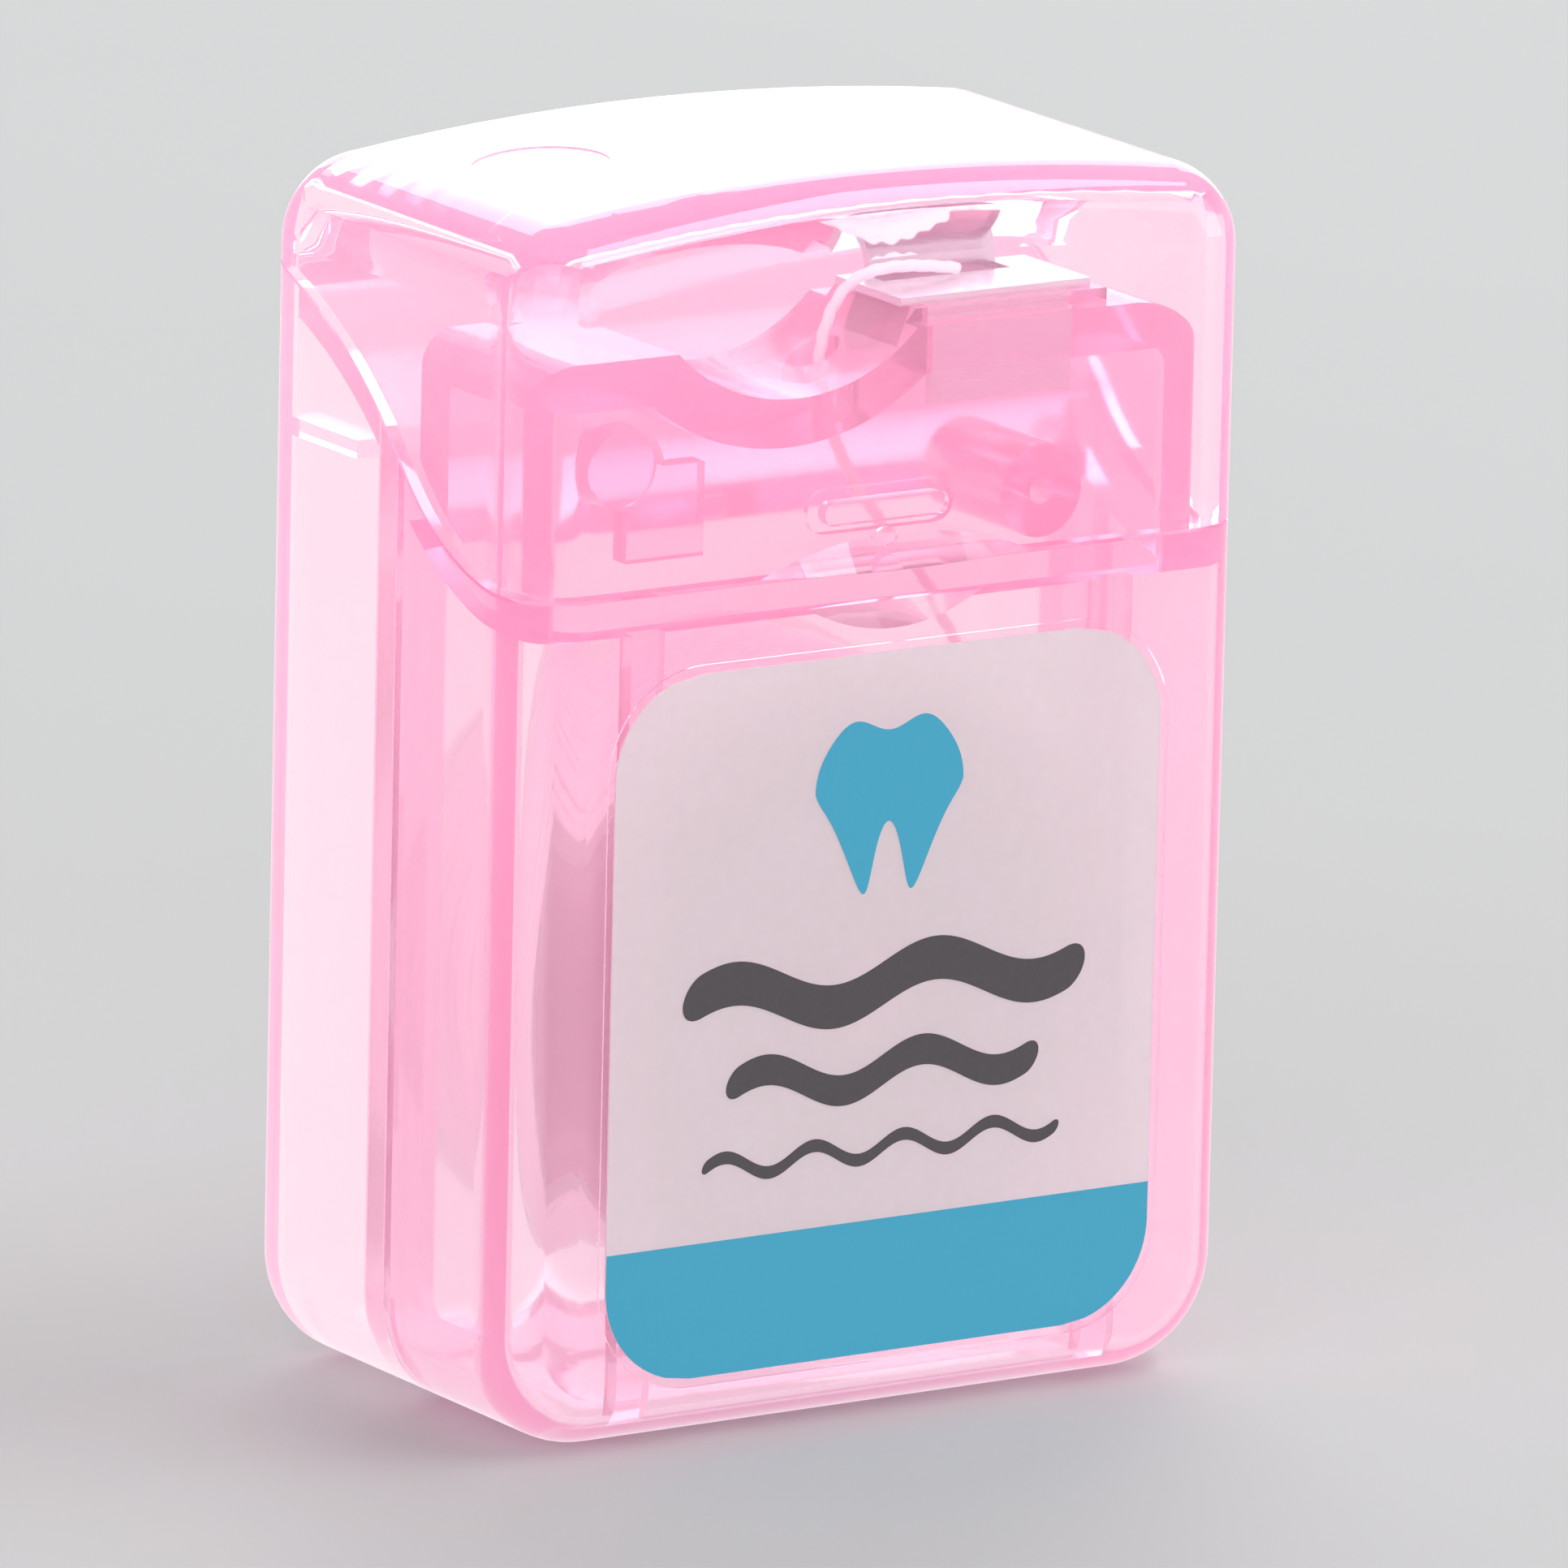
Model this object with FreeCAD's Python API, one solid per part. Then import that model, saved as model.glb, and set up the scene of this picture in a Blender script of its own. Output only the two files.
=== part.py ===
"""Pocket dental floss dispenser: a clear two-piece case with a flip lid on a living hinge, a steel cutter
and a wound bobbin that turns on a post inside.

Millimetres. X runs across the front, Y from front to back and Z up. The pieces are modelled around the middle
of the case, and every one is moved back by half the thumb lip at the end, which puts the origin under the
middle of the whole outline, on the surface that the base stands on.
"""
import FreeCAD
import Part

import math
import os

from FreeCAD import Vector

# Driving sizes of the whole case
width = 32.6
depth = 19.2
height = 47.8
wall = 1.2
lid_wall = 1.1
overrun = 4.0

# Outer form: corners seen from the front, the arched top, and the rounded front and back edges
base_corner_radius = 4.5
top_corner_radius = 3.3
arch_radius = 105.0
front_edge_radius = 2.85
back_edge_radius = 1.9

# Seam between the case and the lid, an S seen from the side: two arcs that meet at a slope
lid_height = 14.8
seam_flat = 0.85
seam_front_radius = 10.8
seam_back_radius = 19.5
seam_slope_deg = 49.5
lid_gap = 0.15

# Cores of the mould: the front shell's leaves small corners in front, the lid's leaves them round its top
shell_core_radius = 0.9
lid_core_radius = 0.8
lid_core_edge = 0.4

# Half-lap joint between the shells, which part just in front of the middle, with a thick rim for its weld
parting_y = -0.45
lap_length = 1.75
lap_outer = 0.6
rim_depth = 2.9
fit = 0.05
parting_gap = 0.1

# Collar under the lid, and the neck that the lid closes over
collar_thickness = 1.6
neck_inset = 1.58
neck_corner_radius = 1.27
neck_wall = 1.05
neck_side_wall = 1.45
deck_rise = 8.85
deck_thickness = 2.0
deck_right_radius = 3.4
deck_left_radius = 1.4

# Finger scoop across the deck, and the hole that the floss comes out of
scoop_centre_x = -3.8
scoop_radius = 7.5
scoop_depth = 2.2
exit_x = -0.65
exit_setback = 3.87
exit_diameter = 2.0

# Snap: a pocket in the neck and a bead inside the lid
snap_rise = 2.15
pocket_length = 6.5
pocket_width = 1.7
pocket_depth = 0.45
bead_length = 5.5
bead_width = 0.9
bead_reach = 0.52
gate_radius = 0.55
gate_drop = 1.25
gate_reach = 0.2

# Thumb lip on the lid, and the nail recess below it
lip_length = 12.0
lip_reach = 0.9
lip_height = 1.25
nail_length = 7.8
nail_reach = 0.7
nail_height = 1.1
nail_drop = 1.2

# Round mark that the mould leaves on the lid's top
mark_x = -9.45
mark_y = 0.95
mark_radius = 2.65
mark_depth = 0.06

# Stiffening ribs, guide boss and peg inside the front shell
rib_inset = 5.85
rib_width = 1.45
rib_depth = 0.8
guide_x = 7.6
guide_rise = 1.85
guide_radius = 1.8
guide_bore = 1.0
guide_length = 5.6
peg_x = -10.85
peg_rise = 4.5
peg_radius = 1.6
peg_length = 1.2
peg_block_width = 3.4
peg_block_height = 3.6
peg_block_depth = 0.9
peg_stud_length = 1.0
peg_stud_height = 0.8

# Ledge inside each side wall of the rear shell, above the bobbin
ledge_rise = 3.2
ledge_thickness = 0.7
ledge_width = 1.3
ledge_setback = 3.8

# Label and its shallow recess
label_side = 4.15
label_drop = 3.2
label_base = 2.6
label_radius = 3.8
label_thickness = 0.12
label_margin = 0.35
recess_depth = 0.15

# Bobbin on its post, as large as the room below the collar and between the side walls allows
post_radius = 1.95
running_gap = 0.08
end_gap = 0.3
bobbin_margin = 2.5
bobbin_lift = 2.2
flange_depth = 4.8
hub_wall = 1.0
bore_wall = 1.0
flange_thickness = 0.6
web_thickness = 1.0
stop_radius = 3.3
stop_length = 3.0
socket_wall = 0.9
socket_length = 2.6

# Floss
floss_diameter = 0.5
winding_depth = 0.55
winding_pitch = 0.95
gap_samples = 16
corner_share = 0.45

# Cutter, stamped from steel strip
steel = 0.35
cutter_left = 1.6
cutter_length = 8.5
cutter_setback = 1.37
cutter_width = 4.6
pad_rise = 0.5
pad_margin = 0.45
leg_length = 3.75
leg_margin = 1.1
slot_gap = 0.1
tab_inset = 0.3
tab_left = 1.1
tab_length = 5.7
tab_height = 1.05
tooth_count = 8
tooth_depth = 0.3

# Living hinge along the back edge
hinge_thickness = 0.24
hinge_half_height = 0.42
hinge_groove_radius = 0.5
hinge_length = 24.0

# Planes and centres that follow from the sizes
front = -depth / 2
back = depth / 2
shoulder_height = height - lid_height
slope = math.radians(seam_slope_deg)
seam_front_centre = (front + seam_flat, shoulder_height + seam_front_radius)
seam_meet = (seam_front_centre[0] + seam_front_radius * math.sin(slope),
             seam_front_centre[1] - seam_front_radius * math.cos(slope))
seam_back_centre = (seam_meet[0] + seam_back_radius * math.sin(slope),
                    seam_meet[1] - seam_back_radius * math.cos(slope))
neck_half = width / 2 - neck_inset
neck_front = front + neck_inset
neck_inner = neck_front + neck_wall
deck_height = shoulder_height + deck_rise
pad_height = deck_height + pad_rise
snap_height = shoulder_height + snap_rise
guide_height = shoulder_height + guide_rise
peg_height = shoulder_height + peg_rise
ledge_height = shoulder_height + ledge_rise
ledge_front = parting_y + ledge_setback
exit_y = neck_front + exit_setback
cutter_front = neck_front + cutter_setback
label_width = width - 2 * label_side
label_height = shoulder_height - label_drop - label_base
bobbin_radius = min(width / 2 - wall, (shoulder_height - collar_thickness - wall) / 2) - bobbin_margin
hub_radius = bobbin_radius - flange_depth
winding_radius = bobbin_radius - winding_depth
spool_height = wall + bobbin_lift + bobbin_radius
bobbin_front = front + wall + socket_length + end_gap
bobbin_back = back - wall - stop_length - end_gap
bobbin_middle = (bobbin_front + bobbin_back) / 2
turn_count = int((bobbin_back - bobbin_front - 2 * flange_thickness - floss_diameter) / winding_pitch)
hinge_y = back - hinge_thickness / 2
hinge_z = seam_back_centre[1] + math.sqrt(seam_back_radius ** 2 - (back - seam_back_centre[0]) ** 2)



def past_bobbin(gap, degrees, y):
    """A point a gap outside the bobbin's rim, so many degrees up round it from its right."""
    reach = bobbin_radius + gap
    turn = math.radians(degrees)
    return reach * math.cos(turn), y, spool_height + reach * math.sin(turn)


# The strand's way from the roll, through the deck and on to the cutter
lead_points = [
    past_bobbin(0.436, 6.6, bobbin_middle),
    past_bobbin(0.566, 35.26, bobbin_middle - 0.6),
    (exit_x + 6.35, exit_y + 1.65, shoulder_height - 2.6),
    (exit_x + 1.55, exit_y + 0.45, shoulder_height + 2.5),
    (exit_x, exit_y, deck_height - 2.65),
    (exit_x + 0.7, exit_y - 0.2, pad_height + 0.35),
    (cutter_left + 1.0, exit_y - 0.15, pad_height + steel + 0.9),
    (cutter_left + 4.05, exit_y - 0.15, pad_height + steel + 0.32),
]


def box(x0, x1, y0, y1, z0, z1):
    """A block between two corners."""
    return Part.makeBox(x1 - x0, y1 - y0, z1 - z0, Vector(x0, y0, z0))


def rod(radius, y0, y1, x, z):
    """A round bar along Y."""
    return Part.makeCylinder(radius, y1 - y0, Vector(x, y0, z), Vector(0, 1, 0))


def line(a, b):
    """A straight edge."""
    return Part.LineSegment(a, b).toShape()


def arc(a, b, c):
    """The arc from a to c by way of b."""
    return Part.Arc(a, b, c).toShape()


def slice_y(y0, y1):
    """The space between two Y planes, larger than the case in X and Z."""
    return box(-width, width, y0, y1, -overrun, height + overrun)


def edges_at_y(shape, y):
    """The edges that lie in the plane Y = y."""
    limits = [(edge, edge.BoundBox) for edge in shape.Edges]
    return [edge for edge, b in limits if abs(b.YMin - y) < fit and abs(b.YMax - y) < fit]


def case_face(inset, top_radius):
    """The case's form seen from the front, shrunk by inset on every side, with its own radius at the top."""
    half = width / 2 - inset
    low_radius = base_corner_radius - inset
    arch = arch_radius - inset
    arch_z = height - arch_radius
    corner_x = half - top_radius
    corner_z = arch_z + math.sqrt((arch - top_radius) ** 2 - corner_x ** 2)
    lean = math.atan2(corner_z - arch_z, corner_x)
    bend = low_radius * math.sqrt(0.5)

    def left(p):
        return Vector(-p.x, p.y, p.z)

    bottom = Vector(half - low_radius, 0, inset)
    turn = Vector(bottom.x + bend, 0, inset + low_radius - bend)
    side = Vector(half, 0, inset + low_radius)
    shoulder = Vector(half, 0, corner_z)
    middle = Vector(corner_x + top_radius * math.cos(lean / 2), 0, corner_z + top_radius * math.sin(lean / 2))
    touch = Vector(arch * math.cos(lean), 0, arch_z + arch * math.sin(lean))
    crown = Vector(0, 0, arch_z + arch)
    outline = Part.Wire([
        line(left(bottom), bottom),
        arc(bottom, turn, side),
        line(side, shoulder),
        arc(shoulder, middle, touch),
        arc(touch, crown, left(touch)),
        arc(left(touch), left(middle), left(shoulder)),
        line(left(shoulder), left(side)),
        arc(left(side), left(turn), left(bottom)),
    ])
    return Part.Face(outline)


def rounded_block(inset, top_radius, front_radius, back_radius):
    """The case's form, shrunk by inset on every side, with its own radii at the top, in front and behind."""
    face = case_face(inset, top_radius)
    face.translate(Vector(0, front + inset, 0))
    solid = face.extrude(Vector(0, depth - 2 * inset, 0))
    solid = solid.makeFillet(front_radius, edges_at_y(solid, front + inset))
    return solid.makeFillet(back_radius, edges_at_y(solid, back - inset))


def case_block(inset):
    """The outer form of the closed case, shrunk by inset on every side."""
    return rounded_block(inset, top_corner_radius - inset, front_edge_radius - inset, back_edge_radius - inset)


def shell_core():
    """The room inside the front shell."""
    return rounded_block(wall, top_corner_radius - wall, shell_core_radius, back_edge_radius - wall)


def lid_core():
    """The room inside the lid: round upright corners, and nearly sharp ones round its top."""
    half = width / 2 - lid_wall
    plan = box(-half, half, front + lid_wall, back - lid_wall, 0, height)
    upright = [edge for edge in plan.Edges if edge.BoundBox.ZLength > height / 2]
    front_corners = [edge for edge in upright if edge.BoundBox.YMax < 0]
    plan = plan.makeFillet(front_edge_radius - lid_wall, front_corners)
    upright = [edge for edge in plan.Edges if edge.BoundBox.ZLength > height / 2]
    back_corners = [edge for edge in upright if edge.BoundBox.YMin > back - lid_wall - fit]
    plan = plan.makeFillet(back_edge_radius - lid_wall, back_corners)
    return plan.common(rounded_block(lid_wall, lid_core_radius, lid_core_edge, lid_core_edge))


def below_seam(drop):
    """Everything lower than the seam surface, which is first moved down, square to itself, by drop."""
    r_front = seam_front_radius + drop
    r_back = seam_back_radius - drop
    y_end = back + overrun

    def on_front(angle):
        return Vector(-width, seam_front_centre[0] + r_front * math.sin(angle),
                      seam_front_centre[1] - r_front * math.cos(angle))

    def on_back(angle):
        return Vector(-width, seam_back_centre[0] - r_back * math.sin(angle),
                      seam_back_centre[1] + r_back * math.cos(angle))

    end = math.asin((seam_back_centre[0] - y_end) / r_back)
    low_front = Vector(-width, front - overrun, on_front(0).z)
    under_front = Vector(-width, front - overrun, -overrun)
    under_back = Vector(-width, y_end, -overrun)
    outline = Part.Wire([
        line(low_front, on_front(0)),
        arc(on_front(0), on_front(slope / 2), on_front(slope)),
        arc(on_back(slope), on_back((slope + end) / 2), on_back(end)),
        line(on_back(end), under_back),
        line(under_back, under_front),
        line(under_front, low_front),
    ])
    return Part.Face(outline).extrude(Vector(2 * width, 0, 0))


def rounded_plate(length, tall, radius, y0, y1, z):
    """A plate with four round corners, standing in the XZ plane around height z."""
    plate = box(-length / 2, length / 2, y0, y1, z - tall / 2, z + tall / 2)
    corners = [e for e in plate.Edges if e.BoundBox.YLength > (y1 - y0) / 2]
    return plate.makeFillet(radius, corners)


def neck_block(inset, side_inset, low):
    """The neck's form down to the height low, shrunk by two insets, with round top and front corners."""
    half = neck_half - side_inset
    top = deck_height - side_inset
    right = max(deck_right_radius - side_inset, deck_right_radius / 2)
    left = max(deck_left_radius - side_inset, deck_left_radius / 2)
    cut = 1 - math.sqrt(0.5)
    y0 = neck_front + inset
    y1 = parting_y - inset
    outline = Part.Wire([
        line(Vector(-half, y0, low), Vector(half, y0, low)),
        line(Vector(half, y0, low), Vector(half, y0, top - right)),
        arc(Vector(half, y0, top - right), Vector(half - right * cut, y0, top - right * cut),
            Vector(half - right, y0, top)),
        line(Vector(half - right, y0, top), Vector(left - half, y0, top)),
        arc(Vector(left - half, y0, top), Vector(left * cut - half, y0, top - left * cut),
            Vector(-half, y0, top - left)),
        line(Vector(-half, y0, top - left), Vector(-half, y0, low)),
    ])
    block = Part.Face(outline).extrude(Vector(0, y1 - y0, 0))
    plan = box(-half, half, y0, y1, low, height)
    corners = [e for e in plan.Edges if e.BoundBox.ZLength > (height - low) / 2 and e.BoundBox.YMax < y0 + fit]
    return block.common(plan.makeFillet(neck_corner_radius - min(inset, neck_corner_radius / 2), corners))


def scoop(extra):
    """The round trough across the deck, grown by extra."""
    z = deck_height - scoop_depth + scoop_radius
    return rod(scoop_radius + extra, front - overrun, parting_y + neck_wall, scoop_centre_x, z)


def cutter_legs(grow):
    """The two legs that the cutter pushes into the deck, or their slots when grown."""
    x0 = cutter_left + leg_margin - grow
    x1 = cutter_left + cutter_length - leg_margin + grow
    z0 = pad_height - leg_length
    z1 = pad_height + steel / 2
    back_leg = cutter_front + cutter_width - steel
    return [box(x0, x1, y - grow, y + steel + grow, z0, z1) for y in (cutter_front, back_leg)]


def lens(length, reach, z_full, z_none, side):
    """A cone that crosses the front face along a lens, reach deep at z_full and not at all at z_none."""
    radius = (length ** 2 / 4 + reach ** 2) / (2 * reach)
    low, high = sorted([(z_full, radius), (z_none, radius - reach)])
    return Part.makeCone(low[1], high[1], high[0] - low[0], Vector(0, front + side * (radius - reach), low[0]))


def add_bosses(shell):
    """Fuses the ribs, the bobbin post's socket, the guide boss and the peg to the inside of the front shell."""
    inner = front + wall
    room = case_block(wall / 2).common(below_seam(collar_thickness / 2))
    for side in (-1, 1):
        x = side * (width / 2 - rib_inset)
        rib = box(x - rib_width / 2, x + rib_width / 2, inner - wall / 2, inner + rib_depth, 0, height)
        shell = shell.fuse(rib.common(room))
    socket_end = bobbin_front - end_gap
    shell = shell.fuse(rod(post_radius + fit + socket_wall, inner - wall / 2, socket_end, 0, spool_height))
    shell = shell.cut(rod(post_radius + fit, inner, socket_end + overrun, 0, spool_height))
    root = neck_inner - neck_wall / 2
    guide_end = neck_inner + guide_length
    shell = shell.fuse(rod(guide_radius, root, guide_end, guide_x, guide_height))
    shell = shell.cut(rod(guide_bore / 2, neck_inner, guide_end + overrun, guide_x, guide_height))
    shell = shell.fuse(rod(peg_radius, root, neck_inner + peg_length, peg_x, peg_height))
    block_z = peg_height
    stud_z = block_z - (peg_block_height + peg_stud_height) / 2
    block = box(peg_x, peg_x + peg_block_width, root, neck_inner + peg_block_depth, block_z - peg_block_height, block_z)
    stud = box(peg_x, peg_x + peg_block_width + peg_stud_length, root, neck_inner + peg_block_depth / 2,
               stud_z, stud_z + peg_stud_height)
    return shell.fuse([block, stud])


def front_shell():
    """Front half of the case with the lap tongue, the collar, the neck and its deck."""
    skin = case_block(0).common(below_seam(0)).common(slice_y(front - overrun, parting_y))
    tongue = case_block(lap_outer + fit).common(below_seam(0))
    tongue = tongue.common(slice_y(parting_y - wall, parting_y + lap_length))
    collar = case_block(wall + fit).common(below_seam(0)).common(slice_y(parting_y - wall, back))
    shell = skin.fuse([tongue, collar]).cut(shell_core().common(below_seam(collar_thickness)))
    rim = case_face(lap_outer + fit, top_corner_radius).cut(case_face(rim_depth, top_corner_radius))
    rim.translate(Vector(0, parting_y, 0))
    shell = shell.fuse(rim.extrude(Vector(0, lap_length, 0)).common(below_seam(collar_thickness / 2)))

    neck_low = shoulder_height - collar_thickness
    neck = neck_block(0, 0, neck_low).cut(below_seam(collar_thickness / 2))
    pad = box(cutter_left - pad_margin, cutter_left + cutter_length + pad_margin, cutter_front - pad_margin,
              cutter_front + cutter_width + pad_margin, deck_height - deck_thickness, pad_height)
    under_deck = box(-width, width, front, back, 0, deck_height - deck_thickness)
    hollow = neck_block(neck_wall, neck_side_wall, neck_low - overrun)
    hollow = hollow.common(under_deck).cut(scoop(deck_thickness))
    shell = shell.fuse([neck, pad]).cut(scoop(0)).cut(hollow)
    exit_hole = Part.makeCylinder(exit_diameter / 2, height, Vector(exit_x, exit_y, shoulder_height))
    shell = shell.cut([exit_hole] + cutter_legs(slot_gap))
    shell = shell.cut(rounded_plate(pocket_length, pocket_width, pocket_width / 2 - fit, neck_front - fit,
                                    neck_front + pocket_depth, snap_height))

    label_z = label_base + label_height / 2
    recess = rounded_plate(label_width + 2 * label_margin, label_height + 2 * label_margin,
                           label_radius + label_margin, front - fit, front + recess_depth, label_z)
    nail_top = shoulder_height - nail_drop
    nail = lens(nail_length, nail_reach, nail_top, nail_top - nail_height, -1)
    return add_bosses(shell.cut([recess, nail]))


def hinge_groove():
    """The round groove along the hinge axis that lets the lid fold back."""
    start = Vector(-width, hinge_y, hinge_z)
    return Part.makeCylinder(hinge_groove_radius, 2 * width, start, Vector(1, 0, 0))


def rear_shell():
    """Rear half of the case with the bobbin's post, its stop collar and a ledge on each side wall."""
    shell = case_block(0).common(below_seam(0)).common(slice_y(parting_y + parting_gap, back + overrun))
    shell = shell.cut(case_block(wall))
    shell = shell.cut(case_block(lap_outer).common(slice_y(-overrun, parting_y + lap_length + fit)))
    inner = back - wall
    post = rod(post_radius, front + wall + end_gap, inner + wall / 2, 0, spool_height)
    stop = rod(stop_radius, bobbin_back + end_gap, inner + wall / 2, 0, spool_height)
    ledge = box(-width, width, ledge_front, inner + wall / 2, ledge_height, ledge_height + ledge_thickness)
    ledge = ledge.common(case_block(wall / 2))
    ledge_inner = width / 2 - wall - ledge_width
    ledge = ledge.cut(box(-ledge_inner, ledge_inner, ledge_front, back, ledge_height, height))
    return shell.fuse([post, stop, ledge]).cut(hinge_groove())


def lid():
    """Flip lid with its thumb lip, snap bead, gate stub and the mould's round mark."""
    shell = case_block(0).cut(lid_core()).cut(below_seam(-lid_gap))
    low = shoulder_height + lid_gap
    lip = lens(lip_length, lip_reach, low, low + lip_height, 1)
    lip = lip.common(slice_y(front - overrun, front + lid_wall / 2))
    inner = front + lid_wall
    bead = rounded_plate(bead_length, bead_width, bead_width / 2 - fit, inner - lid_wall / 2,
                         inner + bead_reach, snap_height)
    gate = rod(gate_radius, inner - lid_wall / 2, inner + gate_reach, 0, snap_height - gate_drop)
    mark = Part.makeCylinder(mark_radius, height, Vector(mark_x, mark_y, height / 2))
    mark = mark.common(case_block(0).cut(case_block(mark_depth)))
    return shell.fuse([lip, bead, gate]).cut(mark).cut(hinge_groove())


def living_hinge():
    """The thin moulded web that joins the lid to the rear shell."""
    return box(-hinge_length / 2, hinge_length / 2, hinge_y - hinge_thickness / 2, hinge_y + hinge_thickness / 2,
               hinge_z - hinge_half_height, hinge_z + hinge_half_height)


def label():
    """The printed film label on the front face."""
    y1 = front + recess_depth
    return rounded_plate(label_width, label_height, label_radius, y1 - label_thickness, y1,
                         label_base + label_height / 2)


def cutter():
    """Steel cutter: a flat top on the pad, two legs in the deck and a toothed tab bent up out of the top."""
    top_z = pad_height + steel
    plate = box(cutter_left, cutter_left + cutter_length, cutter_front, cutter_front + cutter_width,
                pad_height, top_z)
    x0 = cutter_left + tab_left
    y0 = cutter_front + cutter_width - tab_inset - steel
    tip_z = top_z + tab_height
    plate = plate.cut(box(x0, x0 + tab_length, y0 - tab_height, y0, pad_height, top_z))
    tooth = tab_length / tooth_count
    tab = box(x0, x0 + tab_length, y0, y0 + steel, top_z - steel / 2, tip_z)
    for k in range(tooth_count + 1):
        x = x0 + k * tooth
        corners = [Vector(x - tooth / 2, y0, tip_z), Vector(x, y0, tip_z - tooth_depth),
                   Vector(x + tooth / 2, y0, tip_z)]
        tab = tab.cut(Part.Face(Part.makePolygon(corners + corners[:1])).extrude(Vector(0, steel, 0)))
    return plate.fuse([tab] + cutter_legs(0))


def bobbin():
    """Bobbin: hub tube and bore tube joined by a web, with a flange at each end."""
    y0, y1 = bobbin_front, bobbin_back
    body = rod(hub_radius, y0, y1, 0, spool_height)
    body = body.fuse([rod(bobbin_radius, y0, y0 + flange_thickness, 0, spool_height),
                      rod(bobbin_radius, y1 - flange_thickness, y1, 0, spool_height)])
    body = body.cut(rod(hub_radius - hub_wall, y0, y1, 0, spool_height))
    bore = post_radius + running_gap
    tube = rod(bore + bore_wall, y0, y1, 0, spool_height)
    web = rod(hub_radius - hub_wall / 2, bobbin_middle - web_thickness / 2, bobbin_middle + web_thickness / 2,
              0, spool_height)
    return body.fuse([tube, web]).cut(rod(bore, y0, y1, 0, spool_height))


def floss_core():
    """The floss under the outer layer of turns, as one plain ring."""
    y0 = bobbin_front + flange_thickness + fit
    y1 = bobbin_back - flange_thickness - fit
    outer = rod(winding_radius - floss_diameter / 2 - fit, y0, y1, 0, spool_height)
    return outer.cut(rod(hub_radius + fit, y0, y1, 0, spool_height))


def biarc(p0, t0, p1, t1):
    """Two tangent arcs from p0, heading t0, to p1, heading t1, as two edges."""
    v = p1 - p0
    t = t0 + t1
    c = 2 * (1 - t0.dot(t1))
    d = (math.sqrt(v.dot(t) ** 2 + c * v.dot(v)) - v.dot(t)) / c
    q = (p0 + p1 + (t0 - t1) * d) * 0.5

    def half(a, heading, b):
        chord = b - a
        run = chord.Length
        along = chord * (1 / run)
        side = heading - along * heading.dot(along)
        lean = math.atan2(side.Length, heading.dot(along))
        side.normalize()
        return arc(a, a + chord * 0.5 + side * (run / 2 * math.tan(lean / 2)), b)

    return [half(p0, t0, q), half(q, ((q - p0) * (2 / d) - t0 * 2) * 0.5, p1)]


def tube(edges, start, heading):
    """A round tube of the floss's diameter along a smooth chain of edges."""
    path = Part.Wire(edges)
    ring = Part.Wire(Part.makeCircle(floss_diameter / 2, start, heading))
    return path, Part.Wire(path).makePipeShell([ring], True, False)


def floss_winding():
    """The outer layer of floss: one unbroken helix between the flanges, with straight ends."""
    rise = winding_pitch / (2 * math.pi)
    first_y = bobbin_middle - winding_pitch * turn_count / 2

    def point(a):
        return Vector(winding_radius * math.cos(a), first_y + rise * a, spool_height + winding_radius * math.sin(a))

    def heading(a):
        t = Vector(-winding_radius * math.sin(a), rise, winding_radius * math.cos(a))
        return t.normalize()

    steps = turn_count * 4
    angles = [k * math.pi / 2 for k in range(steps + 1)]
    start = point(0) - heading(0) * floss_diameter
    edges = [line(start, point(0))]
    for a, b in zip(angles, angles[1:]):
        edges += biarc(point(a), heading(a), point(b), heading(b))
    edges.append(line(point(angles[-1]), point(angles[-1]) + heading(angles[-1]) * floss_diameter))
    path, solid = tube(edges, start, heading(0))
    samples = [p for edge in edges for p in edge.discretize(gap_samples)]
    per_turn = len(samples) // turn_count
    nearest = min((a - b).Length for i, a in enumerate(samples)
                  for b in samples[i + per_turn // 2:i + 2 * per_turn])
    print(f"winding: {turn_count} turns, length {path.Length:.1f}, "
          f"least gap to itself {nearest - floss_diameter:.3f}")
    return solid


def floss_lead():
    """The strand from the roll to the cutter: straight runs joined by tangent arcs."""
    points = [Vector(*p) for p in lead_points]
    edges = []
    at = points[0]
    radii = []
    for before, corner, after in zip(points, points[1:], points[2:]):
        u = corner - before
        w = after - corner
        back_off = corner_share * min(u.Length, w.Length)
        u.normalize()
        w.normalize()
        half_turn = u.getAngle(w) / 2
        radii.append(back_off / math.tan(half_turn))
        first = corner - u * back_off
        last = corner + w * back_off
        middle = corner + (w - u).normalize() * (radii[-1] * (1 / math.cos(half_turn) - 1))
        edges += [line(at, first), arc(first, middle, last)]
        at = last
    edges.append(line(at, points[-1]))
    path, solid = tube(edges, points[0], points[1] - points[0])
    section = math.pi * floss_diameter ** 2 / 4
    print(f"lead: length {path.Length:.1f}, radii {[round(r, 1) for r in radii]}, "
          f"volume {solid.Volume:.3f} against {section * path.Length:.3f}")
    return solid


pieces = {
    "front_shell": front_shell,
    "rear_shell": rear_shell,
    "lid": lid,
    "living_hinge": living_hinge,
    "label": label,
    "cutter": cutter,
    "bobbin": bobbin,
    "floss_core": floss_core,
    "floss_winding": floss_winding,
    "floss_lead": floss_lead,
}

os.makedirs("parts", exist_ok=True)
for name, make in pieces.items():
    shape = make().removeSplitter()
    shape = shape.Solids[0] if len(shape.Solids) == 1 else shape
    shape.translate(Vector(0, lip_reach / 2, 0))
    size = shape.BoundBox
    print(f"{name}: {len(shape.Solids)} solid, valid {shape.isValid()}, {shape.Volume:.1f} mm3, "
          f"{size.XLength:.2f} x {size.YLength:.2f} x {size.ZLength:.2f}")
    shape.exportStep(f"parts/{name}.step")
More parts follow.
